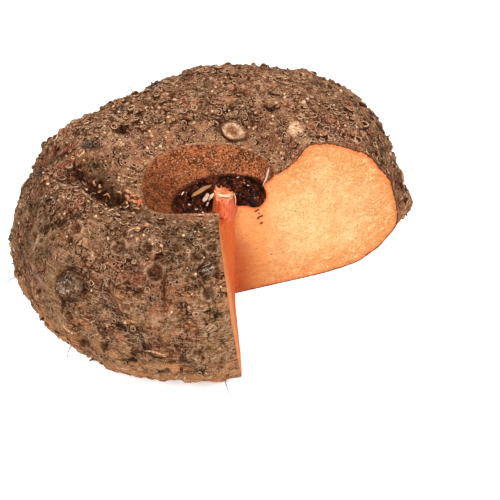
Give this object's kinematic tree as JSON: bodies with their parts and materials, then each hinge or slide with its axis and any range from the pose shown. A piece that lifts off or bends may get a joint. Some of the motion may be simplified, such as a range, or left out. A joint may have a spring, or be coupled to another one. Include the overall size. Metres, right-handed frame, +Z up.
{
  "type": "elephant foot yam",
  "caption": "Whole elephant foot yam corm, squat and lumpy with a hollow crown and bumpy brown skin, one wedge cut out to show the orange flesh.",
  "frame": {"origin": "middle of the footprint, on the surface that the corm rests on", "axes": "+Z up out of the crown; -Y towards the open side of the cut, its left face running along Y"},
  "size_m": [0.2834, 0.2816, 0.1222],
  "materials": {
    "skin": "dry rough brown skin, matt; the cut faces are moist yellow-orange flesh"
  },
  "bodies": {
    "root": {"corm": "skin"}
  },
  "joints": []
}
